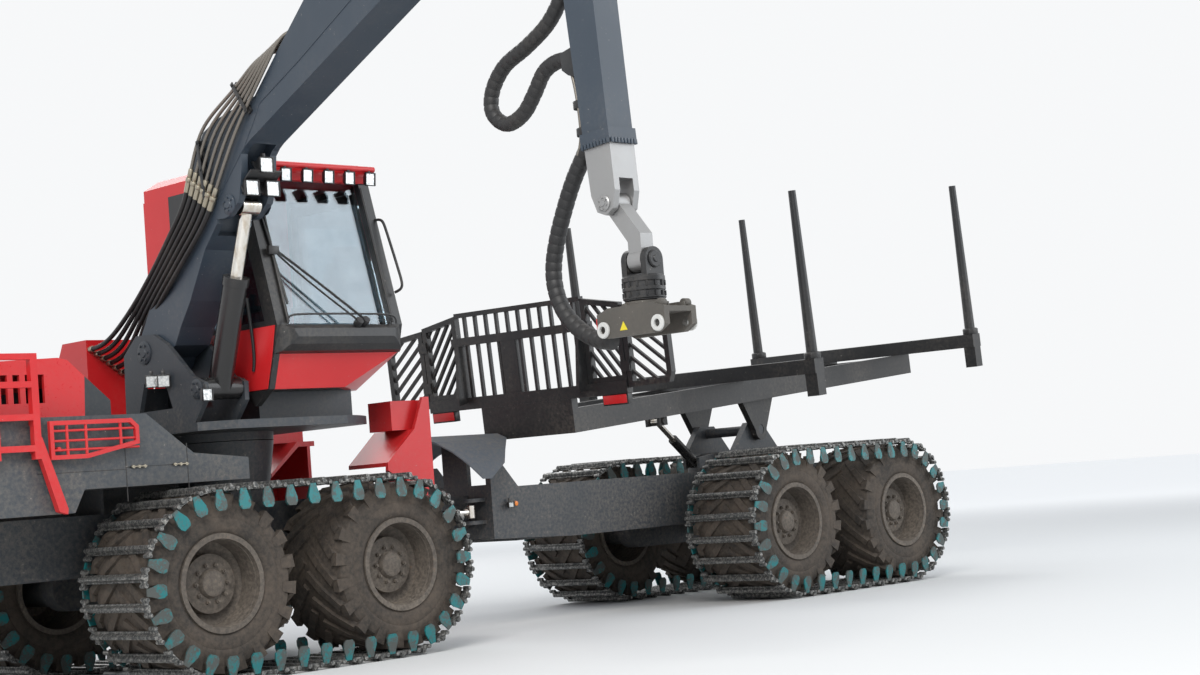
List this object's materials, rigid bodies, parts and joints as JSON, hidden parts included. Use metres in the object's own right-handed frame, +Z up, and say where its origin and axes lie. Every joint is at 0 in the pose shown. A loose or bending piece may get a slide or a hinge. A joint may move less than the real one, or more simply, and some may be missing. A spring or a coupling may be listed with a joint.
{
  "type": "forestry forwarder",
  "caption": "Articulated eight-wheeled forestry forwarder on bogie tracks, with a turning cab and knuckle crane, a quick hitch, and a turning, tilting load bed with stakes.",
  "frame": {"origin": "middle of the bounding box's footprint, on the ground", "axes": "+X to the machine's front, +Y to its left, +Z up"},
  "size_m": [11.672, 7.0364, 5.5586],
  "materials": {
    "track_steel": "worn steel track with teal paint left on its side plates",
    "tyre": "dusty black rubber",
    "rim": "dusty grey paint with rust",
    "frame_paint": "dark slate paint, dusty",
    "engine_block": "plain block",
    "red_paint": "glossy red paint",
    "black_paint": "satin black paint",
    "boom_paint": "satin slate-blue paint",
    "barrel_paint": "gloss black paint",
    "rod_chrome": "polished rod",
    "bare_steel": "worn bare steel",
    "hitch_steel": "dusty weathered steel",
    "guard_grey": "grey sheet",
    "pane": "clear laminated pane",
    "seat_fabric": "red cloth",
    "lamp": "square work lamps"
  },
  "bodies": {
    "front_frame": {"front_frame": "frame_paint", "front_bogies": "frame_paint", "engine": "engine_block", "hull": "frame_paint", "nose_guard": "red_paint", "side_guards": "red_paint", "rear_steps": "red_paint", "front_rims": "rim", "front_tyres": "tyre", "front_tracks": "track_steel"},
    "bonnet": {"bonnet": "red_paint"},
    "platform": {"slew_platform": "frame_paint", "tail_box": "red_paint", "cab_frame": "black_paint", "cab_rear": "red_paint", "cab_roof": "red_paint", "cab_apron": "red_paint", "cab_bumper": "black_paint", "cab_glass": "pane", "cab_seat": "seat_fabric", "work_lamps": "lamp"},
    "cab_door": {"cab_door": "black_paint", "door_glass": "pane"},
    "main_boom": {"main_boom": "boom_paint"},
    "lift_barrel": {"lift_barrel": "barrel_paint"},
    "lift_rod": {"lift_rod": "rod_chrome"},
    "outer_boom": {"outer_boom": "boom_paint"},
    "outer_barrel": {"outer_barrel": "barrel_paint"},
    "outer_rod": {"outer_rod": "rod_chrome"},
    "extension": {"extension": "bare_steel"},
    "hanging_link": {"hanging_link": "bare_steel"},
    "rotator": {"rotator_head": "black_paint"},
    "quick_hitch": {"quick_hitch": "hitch_steel"},
    "rear_frame": {"rear_frame": "frame_paint", "mudguard": "guard_grey", "rear_bogies": "frame_paint", "rear_rims": "rim", "rear_tyres": "tyre", "rear_tracks": "track_steel"},
    "bed_tower": {"bed_tower": "frame_paint"},
    "load_bed": {"bed_floor": "black_paint", "headboard": "black_paint", "stakes": "black_paint"},
    "tilt_barrel": {"tilt_barrel": "barrel_paint"},
    "tilt_rod": {"tilt_rod": "rod_chrome"},
    "steer_barrel_left": {"steer_barrel_left": "barrel_paint"},
    "steer_rod_left": {"steer_rod_left": "rod_chrome"},
    "steer_barrel_right": {"steer_barrel_right": "barrel_paint"},
    "steer_rod_right": {"steer_rod_right": "rod_chrome"}
  },
  "joints": [
    {"name": "steering", "type": "hinge", "parent": "front_frame", "child": "rear_frame", "pos_m": [1.107, -1.82058, 0.97], "axis": [0, 0, 1], "range_deg": [-40, 40]},
    {"name": "bonnet_hinge", "type": "hinge", "parent": "front_frame", "child": "bonnet", "pos_m": [5.757, -1.82058, 1.8503], "axis": [0, 1, 0], "range_deg": [0, 55]},
    {"name": "cab_door_hinge", "type": "hinge", "parent": "platform", "child": "cab_door", "pos_m": [2.039, -1.71358, 2.6], "axis": [0, 0, 1], "range_deg": [0, 75]},
    {"name": "slew", "type": "hinge", "parent": "front_frame", "child": "platform", "pos_m": [2.937, -1.82058, 1.64], "axis": [0, 0, -1], "continuous": true},
    {"name": "boom_lift", "type": "hinge", "parent": "platform", "child": "main_boom", "pos_m": [3.447, -1.49058, 2.3], "axis": [-1, 0, 0], "range_deg": [-22, 28]},
    {"name": "outer_boom_hinge", "type": "hinge", "parent": "main_boom", "child": "outer_boom", "pos_m": [3.447, 2.92879, 5.11545], "axis": [-1, 0, 0], "range_deg": [-60, 30]},
    {"name": "extension_slide", "type": "slide", "parent": "outer_boom", "child": "extension", "axis": [0, -0.0698, 0.9976], "range_m": [-1, 0]},
    {"name": "link_swing", "type": "hinge", "parent": "extension", "child": "hanging_link", "pos_m": [3.447, 3.0976, 2.70134], "axis": [1, 0, 0], "range_deg": [-90, 60]},
    {"name": "cross_swing", "type": "hinge", "parent": "hanging_link", "child": "rotator", "pos_m": [3.447, 3.2582, 2.35695], "axis": [0, 1, 0], "range_deg": [-35, 35]},
    {"name": "rotator_turn", "type": "hinge", "parent": "rotator", "child": "quick_hitch", "pos_m": [3.447, 3.2582, 2.35695], "axis": [0, 0, 1], "continuous": true},
    {"name": "bed_turn", "type": "hinge", "parent": "rear_frame", "child": "bed_tower", "pos_m": [-2.943, -1.82058, 1.15], "axis": [0, 0, 1], "range_deg": [-33, 17]},
    {"name": "bed_tilt", "type": "hinge", "parent": "bed_tower", "child": "load_bed", "pos_m": [-2.943, -1.82058, 1.5], "axis": [-0.1392, 0.9903, 0], "range_deg": [-12, 3.5]},
    {"name": "lift_barrel_hinge", "type": "hinge", "parent": "platform", "child": "lift_barrel", "pos_m": [3.447, -0.87058, 1.99], "axis": [1, 0, 0], "range_deg": [-27.7, 21.87]},
    {"name": "lift_rod_slide", "type": "slide", "parent": "lift_barrel", "child": "lift_rod", "axis": [0, 0.3533, 0.9355], "range_m": [-0.33164, 0.261]},
    {"name": "outer_barrel_hinge", "type": "hinge", "parent": "main_boom", "child": "outer_barrel", "pos_m": [3.447, 0.83216, 4.60973], "axis": [1, 0, 0], "range_deg": [-0.87, 1.24]},
    {"name": "outer_rod_slide", "type": "slide", "parent": "outer_barrel", "child": "outer_rod", "axis": [0, 0.9195, 0.393], "range_m": [-0.36296, 0.18248]},
    {"name": "tilt_barrel_hinge", "type": "hinge", "parent": "bed_tower", "child": "tilt_barrel", "pos_m": [-2.34884, -1.73708, 1.23], "axis": [0.1392, -0.9903, 0], "range_deg": [-5.3, 16.94]},
    {"name": "tilt_rod_slide", "type": "slide", "parent": "tilt_barrel", "child": "tilt_rod", "axis": [0.8082, 0.1136, 0.5778], "range_m": [-0.0382, 0.12612]},
    {"name": "steer_barrel_left_hinge", "type": "hinge", "parent": "front_frame", "child": "steer_barrel_left", "pos_m": [1.537, -1.53058, 0.97], "axis": [0, 0, 1], "range_deg": [-21.59, 21.59]},
    {"name": "steer_rod_left_slide", "type": "slide", "parent": "steer_barrel_left", "child": "steer_rod_left", "axis": [-1, 0, 0], "range_m": [-0.20039, 0.20039]},
    {"name": "steer_barrel_right_hinge", "type": "hinge", "parent": "front_frame", "child": "steer_barrel_right", "pos_m": [1.537, -2.11058, 0.97], "axis": [0, 0, 1], "range_deg": [-21.59, 21.59]},
    {"name": "steer_rod_right_slide", "type": "slide", "parent": "steer_barrel_right", "child": "steer_rod_right", "axis": [-1, 0, 0], "range_m": [-0.20039, 0.20039]}
  ],
  "couplings": [
    {"joint": "lift_barrel_hinge", "follows": "boom_lift", "ratio": -0.97139},
    {"joint": "lift_rod_slide", "follows": "boom_lift", "m_per_rad": -0.67453},
    {"joint": "outer_barrel_hinge", "follows": "outer_boom_hinge", "ratio": -0.012257},
    {"joint": "outer_rod_slide", "follows": "outer_boom_hinge", "m_per_rad": 0.34469},
    {"joint": "tilt_barrel_hinge", "follows": "bed_tilt", "ratio": -1.3703},
    {"joint": "tilt_rod_slide", "follows": "bed_tilt", "m_per_rad": -0.59264},
    {"joint": "steer_barrel_left_hinge", "follows": "steering", "ratio": 0.52727},
    {"joint": "steer_rod_left_slide", "follows": "steering", "m_per_rad": 0.28418},
    {"joint": "steer_barrel_right_hinge", "follows": "steering", "ratio": 0.52727},
    {"joint": "steer_rod_right_slide", "follows": "steering", "m_per_rad": -0.28418}
  ]
}
